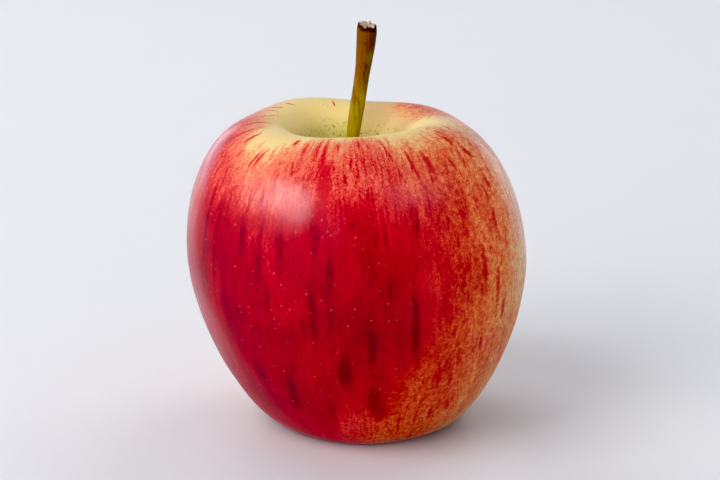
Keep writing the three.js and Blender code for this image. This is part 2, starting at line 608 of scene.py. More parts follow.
    def _bare(self, graph: Graph, spot: Spot, ground: Value) -> NodeSocket:
        """The ground colour: mossy in the cavity and the basin, straw to cream outside, and painted shade in
        buff at the back.

        Args:
            graph: the material's tree.
            spot: where the point lies.
            ground: 0 in the stem cavity, 1 outside, 2 in the basin.

        Returns:
            The colour's socket.
        """
        colour = graph.mix(ground.smooth(0.0, 0.30), self.moss, self.straw)
        colour = graph.mix(ground.smooth(0.35, 1.0), colour, self.cream)
        colour = graph.mix(self.basin_moss * ground.smooth(1.0, 2.0), colour, self.moss)
        # Painted shade: the bare ground on the back, away from the sunny side, is darkened to buff.
        back = spot.facing.smooth(0.14, 0.02) * spot.from_stem.smooth(12.0, 22.0)
        return graph.mix(self.shaded_back_cover * back, colour, self.shaded_buff)

    def _pigment(self, graph: Graph, spot: Spot, dots: Value) -> Value:
        """How much red pigment the skin holds, from 0 for bare ground to 1 for nearly black.

        Args:
            graph: the material's tree.
            spot: where the point lies.
            dots: the lenticels, which are redder than a pale skin round them.

        Returns:
            The amount.
        """
        wobble = graph.node("ShaderNodeTexNoise", {}, {"Vector": spot.place, "Scale": 0.35, "Detail": 2.0})
        shift = graph.vector("SUBTRACT", wobble.outputs["Color"], (0.5, 0.5, 0.5))
        wavy = graph.vector("ADD", spot.meridian, graph.scaled(shift, 1.7))
        bands = graph.noise(wavy, 2.0, 0.6, self.band_scale) - 0.5
        dashes = graph.noise(wavy, 2.0, 0.6, self.dash_scale) - 0.5
        lines = graph.noise(wavy, 1.0, 0.6, self.line_scale) - 0.5
        threads = graph.noise(wavy, 1.0, 0.6, self.thread_scale).smooth(0.58, 0.70)
        flecks = graph.noise(spot.place, 2.0, 0.75, 2.1) - 0.5
        mottles = graph.noise(spot.place, 1.0, 0.6, 0.85) - 0.5
        patches = graph.noise(spot.place, 1.0, 0.5, 0.11) - 0.5
        stretched = graph.vector("MULTIPLY", wavy, self.cell_scale)
        cells = graph.node("ShaderNodeTexVoronoi", {}, {"Vector": stretched})
        chance, _, _ = graph.parts(cells.outputs["Color"])
        specks = graph.value(cells, "Distance").smooth(0.32, 0.12) * chance.smooth(0.35, 0.8)

        blush = self.number(graph, Attribute.BLUSH)
        sunny = 0.35 + 0.65 * spot.facing.smooth(0.60, 0.85)
        grain = sunny * (self.dashes * dashes + self.lines * lines)
        grain = grain + (1.0 - sunny) * self.mottles * mottles + self.flecks * flecks
        specked = self.shady_specks - (self.shady_specks - self.sunny_specks) * sunny
        texture = grain + specked * specks + self.threads * threads + self.bands[0] * bands
        between = blush.smooth(0.80, 0.50) * blush.smooth(-0.12, 0.12)
        mottled = 0.4 + 0.6 * between * (0.6 + 0.4 * sunny)
        amount = blush + mottled * texture + self.bands[1] * bands + self.patches * patches
        strokes = (self.number(graph, Attribute.ACCENT) + 1.1 * grain).smooth(0.22, 0.95)
        strokes = self.stroke_cover * strokes
        amount = amount * (1.0 - strokes) + self.stroke * strokes
        smears = (self.number(graph, Attribute.SHADE) + 0.5 * grain).smooth(0.05, 1.05)
        return amount + self.smear * smears + self.dot_pigment * dots * blush.smooth(0.62, 0.40)

    def _haze(self, graph: Graph, spot: Spot, grazing: Value) -> Value:
        """The thin wax bloom that whitens the rims beside the apple's front.

        Args:
            graph: the material's tree.
            spot: where the point lies.
            grazing: 0 where the skin is seen square on, 1 at its outline.

        Returns:
            The haze's strength.
        """
        upper = spot.from_stem.smooth(78.0, 50.0)
        sunny_lower = 0.6 * spot.facing.smooth(0.50, 0.75) * spot.from_stem.smooth(100.0, 68.0)
        streaks = graph.noise(spot.meridian, 2.0, 0.6, self.bloom_scale).smooth(0.38, 0.60)
        beside = (-1.0 * spot.north).smooth(30.0, 22.0) * spot.from_stem.smooth(20.0, 34.0)
        bloom = upper.at_least(sunny_lower) * (0.7 + 0.45 * streaks) * beside
        rim = (grazing - 0.0025 * spot.from_stem).smooth(0.30, 0.60)
        crown_edge = grazing.smooth(0.82, 0.96) * spot.from_stem.smooth(58.0, 44.0)
        return bloom * rim * (1.0 - 0.45 * crown_edge)

    @staticmethod
    def _dots(graph: Graph, spot: Spot) -> Value:
        """Lenticels: small round pale dots, most of them faint.

        Args:
            graph: the material's tree.
            spot: where the point lies.

        Returns:
            How strong the dot is.
        """
        cells = graph.node("ShaderNodeTexVoronoi", {}, {"Vector": spot.place, "Scale": 0.6})
        chance, _, _ = graph.parts(cells.outputs["Color"])
        return graph.value(cells, "Distance").smooth(0.20, 0.08) * chance

    def _russet(self, graph: Graph, spot: Spot, ground: Value) -> Value:
        """Small corky specks low on the wall of the stem cavity and round the calyx.

        Args:
            graph: the material's tree.
            spot: where the point lies.
            ground: 0 in the stem cavity, 1 outside, 2 in the basin.

        Returns:
            How much of the speck's colour shows.
        """
        specks = graph.noise(spot.place, 2.0, 0.6, 1.5)
        cavity = specks.smooth(0.58, 0.68) * ground.smooth(0.30, 0.12)
        basin = specks.smooth(0.50, 0.66) * ground.smooth(1.75, 2.0)
        return self.russet_cover * cavity.at_least(basin)


@dataclass(frozen=True)
class StemBark(Finish):
    """Stem: olive green below, brown above, orange-brown on one side, with a pale broken end."""

    name: str = "apple_stem"
    olive: tuple = srgb(158, 134, 8)
    brown: tuple = srgb(92, 54, 4)
    amber: tuple = srgb(138, 86, 5)
    green: tuple = srgb(124, 122, 24)
    dark: tuple = srgb(40, 17, 6)
    pith: tuple = srgb(208, 184, 154)
    core: tuple = srgb(150, 142, 84)
    grain_scale: tuple = (2.4, 2.4, 0.16)
    blotch_scale: tuple = (0.7, 0.7, 0.22)
    fleck_scale: tuple = (2.2, 2.2, 1.0)
    fibre_scale: tuple = (2.6, 2.6, 0.9)
    # Heights, in millimetres, between which each change comes.
    browned: tuple = (71.0, 82.0)
    amber_from: tuple = (72.0, 77.0)
    amber_thins: tuple = (80.0, 86.0)
    mossy_from: tuple = (80.2, 82.0)
    mossy_to: tuple = (83.0, 81.2)
    # The line up the bark that parts its amber side from the other: slope, height and offset.
    divide: tuple = (0.13, 69.0, 0.23)

    def sockets(self, graph: Graph) -> dict:
        """What the shader's sockets hold or are linked to.

        Args:
            graph: the material's tree.

        Returns:
            Values and links by socket name.
        """
        place = self.place(graph)
        grain = graph.noise(place, 3.0, 0.6, self.grain_scale)
        flecks = graph.noise(place, 2.0, 0.6, self.fleck_scale)
        colour = self._bark(graph, place, grain)
        colour = graph.mix(0.55 * grain.smooth(0.54, 0.70), colour, self.dark)
        colour = graph.mix(0.85 * flecks.smooth(0.63, 0.69), colour, self.dark)
        return {
            "Base Color": self._broken_end(graph, place, colour),
            "Roughness": 0.5 + 0.3 * grain,
            "Specular IOR Level": 0.12,
            "Subsurface Weight": 0.04,
            "Subsurface Scale": 0.0005,
            "Normal": graph.bump(0.6, 0.00014, grain + 0.4 * flecks),
        }

    def _bark(self, graph: Graph, place: NodeSocket, grain: Value) -> NodeSocket:
        """The bark's colour: olive to brown, an amber streak up one side and a mossy patch near the top.

        Args:
            graph: the material's tree.
            place: Object coordinates in millimetres.
            grain: the fibres along the stem.

        Returns:
            The colour's socket.
        """
        x, _, z = graph.parts(place)
        blotch = graph.noise(place, 2.0, 0.5, self.blotch_scale)
        height = z + 12.0 * (blotch - 0.5) + 10.0 * (grain - 0.5)
        colour = graph.mix(height.smooth(*self.browned), self.olive, self.brown)
        slope, middle, offset = self.divide
        side = x - slope * (z - middle) - offset
        streak = (side + 2.5 * (grain - 0.5)).smooth(0.9, -0.7) * height.smooth(*self.amber_from)
        colour = graph.mix(streak * (0.85 - 0.35 * z.smooth(*self.amber_thins)), colour, self.amber)
        patch = (z + blotch).smooth(*self.mossy_from) * (z - blotch).smooth(*self.mossy_to)
        patch = patch * (side + grain - 0.5).smooth(0.0, 0.8)
        return graph.mix(0.5 * patch, colour, self.green)

    def _broken_end(self, graph: Graph, place: NodeSocket, colour: NodeSocket) -> NodeSocket:
        """Lays a dark ragged rim and the pale fibres of the broken end over the bark.

        Args:
            graph: the material's tree.
            place: Object coordinates in millimetres.
            colour: the bark's colour.

        Returns:
            The colour's socket.
        """
        along = self.number(graph, Attribute.ALONG)
        fibres = graph.noise(place, 2.0, 0.65, self.fibre_scale)
        ragged = along + 0.03 * (fibres - 0.5)
        colour = graph.mix(0.85 * ragged.smooth(0.978, 0.992), colour, self.dark)
        inside = graph.mix(along.smooth(1.16, 1.26), self.pith, self.core)
        torn = ragged.smooth(1.03, 1.055) * (1.0 - 0.7 * fibres.smooth(0.48, 0.60))
        return graph.mix(torn, colour, inside)


@dataclass(frozen=True)
class DriedCalyx(Finish):
    """Dried sepals and stamens: dark brown, paler and downy towards the tips."""

    name: str = "apple_calyx"
    brown: tuple = srgb(96, 66, 38)
    dark: tuple = srgb(46, 30, 20)
    down: tuple = srgb(170, 150, 116)

    def sockets(self, graph: Graph) -> dict:
        """What the shader's sockets hold or are linked to.

        Args:
            graph: the material's tree.

        Returns:
            Values and links by socket name.
        """
        place = self.place(graph)
        grain = graph.noise(place, 3.0, 0.65, 1.5)
        fine = graph.noise(place, 2.0, 0.6, 5.0)
        downy = fine.smooth(0.5, 0.7) * (0.25 + 0.5 * self.number(graph, Attribute.ALONG))
        colour = graph.mix(grain.smooth(0.35, 0.62), self.dark, self.brown)
        return {
            "Base Color": graph.mix(downy, colour, self.down),
            "Roughness": 0.78 + 0.2 * (fine - 0.5),
            "Normal": graph.bump(0.6, 0.0002, grain + fine),
        }


@dataclass(frozen=True)
class Paper(Finish):
    """Matt pale backdrop paper."""

    name: str = "paper"
    colour: tuple = (0.80, 0.80, 0.812)

    def sockets(self, graph: Graph) -> dict:
        """One even colour with no gloss."""
        return {"Base Color": (*self.colour, 1.0), "Roughness": 0.9, "Specular IOR Level": 0.0}


# ---------------------------------------------------------------- geometry helpers


def placed(name: str, data: bpy.types.ID) -> Object:
    """A new object in the scene.

    Args:
        name: the object's name.
        data: the mesh, curve, light or camera that it shows.

    Returns:
        The object.
    """
    made = bpy.data.objects.new(name, data)
    bpy.context.scene.collection.objects.link(made)
    return made


def read_vectors(mesh: Mesh, name: Attribute) -> np.ndarray:
    """A vector attribute of the mesh's points.

    Args:
        mesh: the mesh.
        name: the attribute.

    Returns:
        One row for each vertex.
    """
    flat = np.empty(len(mesh.vertices) * 3, dtype=np.float32)
    mesh.attributes[name.value].data.foreach_get("vector", flat)
    return flat.reshape(-1, 3).astype(float)


def write_numbers(mesh: Mesh, name: Attribute, numbers: np.ndarray) -> None:
    """Stores one number for each vertex of the mesh."""
    layer = mesh.attributes.new(name.value, "FLOAT", "POINT")
    layer.data.foreach_set("value", numbers.astype(np.float32))


def ring_faces(rings: int, around: int) -> list[tuple]:
    """The quads between each ring of points and the next.

    Args:
        rings: how many rings.
        around: the points of each.

    Returns:
        Faces as tuples of vertex numbers.
    """
    ring = np.arange(around)
    following = np.roll(ring, -1)
    faces: list[tuple] = []
    for low in range(0, (rings - 1) * around, around):
        high = low + around
        faces += list(zip(low + ring, low + following, high + following, high + ring))
    return faces


def smooth_mesh(name: str, vertices: np.ndarray, faces: Sequence[tuple], finish: Material) -> Object:
    """A smooth mesh object.

    Args:
        name: the object's name.
        vertices: points in metres, one row each.
        faces: tuples of vertex numbers.
        finish: its material.

    Returns:
        The object, in the scene.
    """
    mesh = bpy.data.meshes.new(name)
    mesh.from_pydata(vertices.tolist(), [], [tuple(int(i) for i in face) for face in faces])
    mesh.shade_smooth()
    mesh.materials.append(finish)
    return placed(name, mesh)


def dress(piece: Object, packed: Packed) -> Object:
    """Puts a finished piece on its body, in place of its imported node.

    Args:
        piece: the finished mesh object.
        packed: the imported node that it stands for.

    Returns:
        The same piece.
    """
    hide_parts(packed.value)
    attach(piece, BODY)
    LOG.info("%s: %d faces", piece.name, len(piece.data.polygons))
    return piece


# ---------------------------------------------------------------- fruit


@dataclass(frozen=True)
class Streak:
    """One streak of colour, placed round the fruit and along the skin from the stem."""

    azimuth: float  # degrees, at its middle
    middle: float  # millimetres along the skin from the middle of the stem cavity
    width: float  # millimetres
    length: float  # millimetres
    strength: float = 1.0
    slant: float = 0.0  # degrees round for each millimetre along
    fade: float = 0.9  # how fast it falls off across its edge

    def field(self, azimuth: np.ndarray, from_stem: np.ndarray, radius: float) -> np.ndarray:
        """How far inside the streak each point is.

        Args:
            azimuth: degrees round the fruit.
            from_stem: millimetres along the skin.
            radius: of the cylinder that widths are measured on, in millimetres.

        Returns:
            The streak's strength on its middle line, falling softly to 0 beyond its edge.
        """
        along = from_stem - self.middle
        turn = (azimuth - self.azimuth - self.slant * along + 180.0) % 360.0 - 180.0
        across = np.radians(turn) * radius / (0.5 * self.width)
        return self.strength * np.exp(-self.fade * (across**2 + (along / (0.5 * self.length)) ** 2))


def streaks(*rows: tuple) -> tuple[Streak, ...]:
    """Streaks from rows of azimuth, middle, width, length and, where needed, strength and slant."""
    return tuple(Streak(*row) for row in rows)


@dataclass(frozen=True)
class Round:
    """A value that changes round the fruit: (azimuth in degrees, value) pairs in order."""

    pairs: tuple
    softness: float = 6.0  # degrees on each side that a corner is spread over

    def at(self, azimuth: np.ndarray) -> np.ndarray:
        """The value at each azimuth, with smooth corners.

        Args:
            azimuth: degrees round the fruit.

        Returns:
            One value for each azimuth.
        """
        places, values = zip(*self.pairs)
        spread = np.linspace(-self.softness, self.softness, 7)
        return np.mean([np.interp(azimuth + turn, places, values, period=360.0) for turn in spread], axis=0)


@dataclass
class Fruit:
    """The apple's body: a round outline with five lobes, an uneven crown, feet and a lean.

    Lengths are in millimetres and angles in degrees.
    """

    outline: tuple = (
        (0.0, 8.0), (3.6, 8.0), (6.4, 6.4), (9.6, 1.2), (14.2, -1.3), (21.7, 0.5), (28.4, 9.1),
        (34.6, 21.6), (37.9, 36.9), (35.7, 51.8), (30.1, 63.2), (22.4, 68.9), (13.2, 67.6), (8.4, 56.6),
        (5.0, 53.6), (2.4, 53.0), (0.0, 53.0),
    )
    rows: int = 200
    segments: int = 480
    seam_azimuth: float = 90.0
    seam_gap: float = 0.001
    lobe_azimuth: float = 48.0
    lobe_depth: float = 0.03
    lobe_from: float = 14.0
    crown_from: float = 31.5
    crown_height: float = 70.0
    crown_lobe_rise: float = 0.2
    crown_saddle_rise: float = 0.5
    crown_saddle_azimuth: float = 140.0
    crown_edge_radius: float = 14.0
    foot_drop: float = 0.05
    foot_height: float = 12.0
    foot_radii: tuple = (4.0, 12.0)
    lean: float = -0.043
    lean_pivot: float = 38.5
    centre: tuple = (-0.23, -0.38)
    undulation: float = 0.22
    undulation_scale: float = 0.075
    streak_radius: float = 36.0
    # How much pigment: on the flanks, on the crown's wash and low down, where it comes in over low_from.
    side_blush: Round = Round(
        (
            (0, 0.20), (60, 0.20), (110, 0.26), (150, 0.48), (175, 0.70), (195, 0.80), (212, 0.84),
            (240, 0.84), (262, 0.83), (285, 0.80), (297, 0.69), (306, 0.59), (320, 0.41), (332, 0.25),
            (345, 0.15),
        )
    )
    crown_blush: Round = Round(
        (
            (0, 0.34), (25, 0.42), (50, 0.42), (90, 0.26), (140, 0.36), (185, 0.66), (200, 0.59),
            (220, 0.49), (243, 0.50), (258, 0.50), (280, 0.48), (300, 0.40), (320, 0.33), (335, 0.24),
        )
    )
    low_blush: Round = Round(
        (
            (0, 0.22), (60, 0.25), (110, 0.25), (150, 0.45), (200, 0.57), (250, 0.52), (300, 0.48),
            (325, 0.28),
        )
    )
    low_from: tuple = (56.0, 80.0)
    # The sunny side's right boundary moves round by so many degrees at each distance from the stem.
    boundary_fall: tuple = ((51.0, 0.0), (75.0, 12.0), (89.0, 25.0), (97.0, 36.0))
    boundary_side: tuple = (215.0, 262.0)
    # How far from the stem the solid blush and the crown's wash begin, and how softly.
    blush_edge: Round = Round(
        (
            (0, 44.0), (100, 46.0), (190, 38.0), (205, 45.0), (214, 47.0), (235, 47.5), (247, 45.0),
            (257, 43.0), (263, 45.0), (272, 42.5), (283, 41.5), (300, 43.0),
        )
    )
    wash_start: Round = Round(
        (
            (0, 23.0), (28, 18.0), (50, 19.0), (75, 26.0), (110, 29.0), (150, 25.0), (190, 23.0),
            (205, 25.0), (214, 32.5), (232, 32.5), (243, 27.5), (256, 25.2), (280, 24.6), (292, 27.5),
            (303, 27.0), (315, 25.0), (340, 25.0),
        )
    )
    edge_softness: tuple = (-4.0, 3.0)
    wash_softness: tuple = (-4.0, 12.0)
    bare: float = -0.10  # the amount above the wash, where the ground is bare
    # What is taken from the amount, and the distances from the stem over which that comes in.
    shoulder_thinning: tuple = (0.16, 64.0, 42.0)
    basin_thinning: tuple = ((0.10, 90.0, 104.0), (0.5, 106.0, 118.0))
    # Distances over which the cavity's wall turns outwards and the outside turns into the basin.
    cavity_wall: tuple = (9.0, 40.0)
    basin_wall: tuple = (102.0, 118.0)
    # Red strokes on bare ground, darker smears on the blush, and pigment taken away (or added, below 0).
    strokes: tuple = streaks(
        (259.2, 40.0, 3.4, 10.0, 1.5), (257.6, 33.5, 1.4, 13.0, 1.2), (254.0, 31.5, 1.2, 8.0),
        (263.5, 30.5, 1.2, 4.5), (273.5, 29.8, 1.2, 5.0), (287.0, 33.0, 0.9, 14.0, 0.9, 0.55),
        (296.5, 37.0, 1.2, 10.0, 1.1, 0.35), (304.2, 37.3, 1.7, 6.5, 1.4, 0.3),
        (321.5, 32.5, 1.5, 4.5, 1.0, 0.6), (326.0, 36.5, 1.6, 5.0, 1.0, 0.5),
        (327.5, 43.5, 1.6, 5.0, 1.0, 0.3), (315.0, 38.0, 1.5, 5.0, 0.9, 0.4),
        (224.5, 36.0, 1.1, 6.0, 1.1, -0.5), (222.0, 36.5, 1.0, 6.0, 1.1, -0.5),
        (247.0, 31.5, 1.6, 7.0, 0.9), (239.0, 29.5, 2.0, 3.0, 1.1), (316.5, 60.0, 1.6, 10.0, 1.1),
        (322.5, 66.0, 1.6, 14.0, 0.9), (311.0, 50.0, 1.8, 9.0, 0.9), (325.0, 51.0, 1.4, 6.0, 0.9),
        (316.1, 61.7, 1.6, 3.5, 1.1), (326.4, 71.0, 1.5, 7.0, 1.0), (299.5, 84.1, 1.5, 6.0, 1.1),
        (308.3, 93.1, 1.5, 5.0, 1.2, 0.8), (300.3, 94.9, 1.7, 4.0, 1.1), (316.2, 77.3, 1.3, 4.5, 1.1),
        (308.8, 59.5, 1.5, 3.5, 1.0), (305.0, 85.5, 1.4, 3.5, 1.0), (303.5, 73.0, 1.6, 4.0, 0.9),
        (193.3, 27.8, 1.5, 9.0, 1.1, -0.35), (201.0, 32.0, 1.5, 8.0, 1.1, -0.7),
        (210.0, 31.5, 1.3, 6.0, 1.0, -0.5), (184.0, 29.5, 1.4, 6.0, 1.0, 1.0),
        (174.0, 25.0, 1.4, 5.0, 1.1, 3.8), (160.0, 27.0, 1.3, 5.0, 1.0, 1.5),
        (150.8, 27.0, 1.5, 4.5, 1.1, 1.5), (138.0, 25.5, 1.4, 4.5, 1.0, 1.0),
        (114.0, 23.2, 1.6, 3.0, 0.7, 4.0), (104.0, 23.5, 1.4, 3.5, 1.0),
    )
    smears: tuple = streaks(
        (228.5, 53.0, 1.8, 13.0, 0.7), (236.5, 56.5, 1.6, 21.0, 0.8), (244.5, 54.0, 2.2, 12.0, 0.8),
        (256.8, 51.5, 2.4, 11.0, 1.0), (261.5, 58.5, 1.8, 15.0, 0.8), (239.2, 66.0, 1.6, 15.0, 0.7),
        (255.6, 66.0, 1.9, 16.0, 0.9), (264.6, 80.5, 3.2, 8.5, 1.3), (274.2, 74.0, 1.8, 11.0, 1.1),
        (288.9, 70.5, 1.5, 13.0, 2.0), (289.6, 77.0, 1.4, 7.0, 1.1), (291.6, 47.5, 2.0, 12.0, 0.9),
        (280.6, 62.0, 1.4, 7.0, 0.8), (274.0, 88.5, 3.2, 9.0, 1.0), (277.3, 92.5, 3.0, 5.0, 1.2),
        (242.5, 88.0, 3.2, 10.0, 0.9), (230.0, 85.0, 4.5, 8.0, 0.7), (257.5, 92.5, 2.2, 12.0, 0.7),
        (215.0, 57.0, 1.3, 26.0, 0.7), (209.0, 52.0, 1.4, 22.0, 0.8), (220.5, 68.0, 1.5, 18.0, 0.6),
        (280.0, 50.0, 1.6, 9.0, 0.7),
    )
    thinned: tuple = streaks(
        (317.0, 49.0, 3.5, 10.0, 0.10), (262.0, 31.5, 5.0, 8.0, 0.1), (238.0, 62.0, 8.0, 22.0, 0.07),
        (228.0, 54.0, 6.0, 18.0, 0.04), (285.0, 72.0, 18.0, 22.0, -0.08),
        (302.0, 70.0, 9.0, 26.0, -0.05), (247.0, 64.0, 7.0, 28.0, 0.07), (266.0, 92.0, 9.0, 14.0, 0.07),
        (315.0, 71.0, 6.0, 14.0, -0.10), (325.0, 30.5, 9.0, 7.0, -0.16), (204.0, 36.5, 6.0, 6.0, 0.09),
        (272.0, 41.0, 8.0, 10.0, 0.05), (297.0, 90.0, 12.0, 12.0, -0.04),
    )

    def build(self, skin: Material) -> Object:
        """Makes the fruit's mesh, with the attributes that the skin reads.

        Args:
            skin: the finished skin material.

        Returns:
            The dressed fruit.
        """
        piece = self._group().run(self._outline_host(), skin, "apple_fruit")
        self._store_fields(piece.data)
        return dress(piece, Packed.FRUIT)

    def _outline_host(self) -> Object:
        """The outline as a clamped cubic B-spline in the XZ plane.

        Returns:
            The curve object that the fruit is grown from.
        """
        curve = bpy.data.curves.new("fruit_outline", "CURVE")
        curve.dimensions = "3D"
        spline = curve.splines.new("NURBS")
        spline.points.add(len(self.outline) - 1)
        for point, (radius, height) in zip(spline.points, self.outline):
            point.co = (radius * MM, 0.0, height * MM, 1.0)
        spline.order_u = 4
        spline.use_endpoint_u = True
        spline.resolution_u = 64
        return placed("fruit_outline", curve)

    def _group(self) -> Group:
        """The group that wraps a grid round the outline.

        Returns:
            The group, which starts from the outline curve.
        """
        sizes = {
            "Rows": self.rows,
            "Segments": self.segments,
            "Lobe depth": self.lobe_depth,
            "Lean": self.lean,
            "Foot drop": self.foot_drop,
            "Undulation": self.undulation,
        }
        group = Group("round_fruit", "Outline", sizes)
        outline = group.given["Outline"]
        points = {"Vertices X": group.size("Segments") + 1.0, "Vertices Y": group.size("Rows")}
        grid = group.node("GeometryNodeMeshGrid", {}, {"Size X": 1.0, "Size Y": 1.0, **points})
        u, v, _ = group.parts(group.here())
        azimuth = (u + 0.5) * (2.0 * math.pi) + math.radians(self.seam_azimuth)
        length = group.value(group.node("GeometryNodeCurveLength", {}, {0: outline})) / MM
        east, north = azimuth.cos(), azimuth.sin()
        meridian = group.joined(self.streak_radius * east, self.streak_radius * north, (0.5 - v) * length)
        mapped = group.store(grid.outputs["Mesh"], "OFBake", grid.outputs["UV Map"], "FLOAT2", "CORNER")
        # The meridian is stored before the points move, because u and v are their places on the grid.
        stored = group.store(mapped, Attribute.MERIDIAN.value, meridian, "FLOAT_VECTOR")
        wrapped = group.moved(stored, self._place(group, azimuth, v))
        sockets = {"Geometry": wrapped, "Distance": self.seam_gap * MM}
        group.end(group.node("GeometryNodeMergeByDistance", {}, sockets).outputs[0])
        return group

    def _place(self, group: Group, azimuth: Value, v: Value) -> NodeSocket:
        """Where a point of the grid goes: on the outline, then lobed, raised, waved and leaned.

        Args:
            group: the geometry group.
            azimuth: radians round the fruit.
            v: the point's place along the outline, from -0.5 at the calyx to 0.5 at the stem.

        Returns:
            The place in millimetres.
        """
        sockets = {"Curves": group.given["Outline"], "Factor": v + 0.5}
        sample = group.node("GeometryNodeSampleCurve", {"mode": "FACTOR"}, sockets)
        radius, _, height = group.parts(group.scaled(sample.outputs["Position"], 1.0 / MM))
        radius = radius.at_least(0.0)
        east, north = azimuth.cos(), azimuth.sin()
        lobe = (5.0 * (azimuth - math.radians(self.lobe_azimuth))).cos()
        saddle = (2.0 * (azimuth - math.radians(self.crown_saddle_azimuth))).cos()
        swell = 1.0 + group.size("Lobe depth") * lobe * height.smooth(self.lobe_from, self.crown_height)
        crown = height.smooth(self.crown_from, self.crown_height) * radius.smooth(0.0, self.crown_edge_radius)
        foot = height.smooth(self.foot_height, 0.0) * radius.smooth(*self.foot_radii)
        rise = crown * (self.crown_lobe_rise * lobe + self.crown_saddle_rise * saddle)
        level = height + rise - foot * group.size("Foot drop") * lobe

        even = group.joined(radius * east, radius * north, height)
        wave = 2.0 * (group.noise(even, 1.0, 0.4, self.undulation_scale) - 0.5) * radius.smooth(2.0, 12.0)
        bulge = radius * swell + group.size("Undulation") * wave
        x = bulge * east + group.size("Lean") * (level - self.lean_pivot) - self.centre[0]
        y = bulge * north - self.centre[1]
        return group.joined(x, y, level.at_least(0.0))

    def _store_fields(self, mesh: Mesh) -> None:
        """Stores on the mesh's points what the skin reads.

        Args:
            mesh: the fruit's mesh, with its meridian attribute.
        """
        meridian = read_vectors(mesh, Attribute.MERIDIAN)
        azimuth = np.degrees(np.arctan2(meridian[:, 1], meridian[:, 0])) % 360.0
        from_stem = meridian[:, 2]
        strokes, smears, thinned = (
            [streak.field(azimuth, from_stem, self.streak_radius) for streak in chosen]
            for chosen in (self.strokes, self.smears, self.thinned)
        )
        write_numbers(mesh, Attribute.BLUSH, self._blush(azimuth, from_stem) - sum(thinned))
        write_numbers(mesh, Attribute.ACCENT, np.max(strokes, axis=0))
        write_numbers(mesh, Attribute.SHADE, np.max(smears, axis=0))
        ground = step(from_stem, *self.cavity_wall) + step(from_stem, *self.basin_wall)
        write_numbers(mesh, Attribute.GROUND, ground)

    def _blush(self, azimuth: np.ndarray, from_stem: np.ndarray) -> np.ndarray:
        """How much red pigment the sun has raised at each point.

        Args:
            azimuth: degrees round the fruit.
            from_stem: millimetres along the skin from the middle of the stem cavity.

        Returns:
            About 0.8 for solid red, 0.45 for coral, 0.2 for orange, 0 for bare ground.
        """
        fall = np.interp(from_stem, *zip(*self.boundary_fall)) * step(azimuth, *self.boundary_side)
        side = self.side_blush.at(azimuth + fall)
        thinner, low, high = self.shoulder_thinning
        side = side - thinner * step(side, 0.45, 0.8) * step(from_stem, low, high)
        side = np.maximum(side, self.low_blush.at(azimuth) * step(from_stem, *self.low_from))
        wash = step(from_stem - self.wash_start.at(azimuth), *self.wash_softness)
        crown = self.bare + (self.crown_blush.at(azimuth) - self.bare) * wash
        solid = step(from_stem - self.blush_edge.at(azimuth), *self.edge_softness)
        basin = sum(taken * step(from_stem, low, high) for taken, low, high in self.basin_thinning)
        return crown + (side - crown) * solid - basin


# ---------------------------------------------------------------- stem


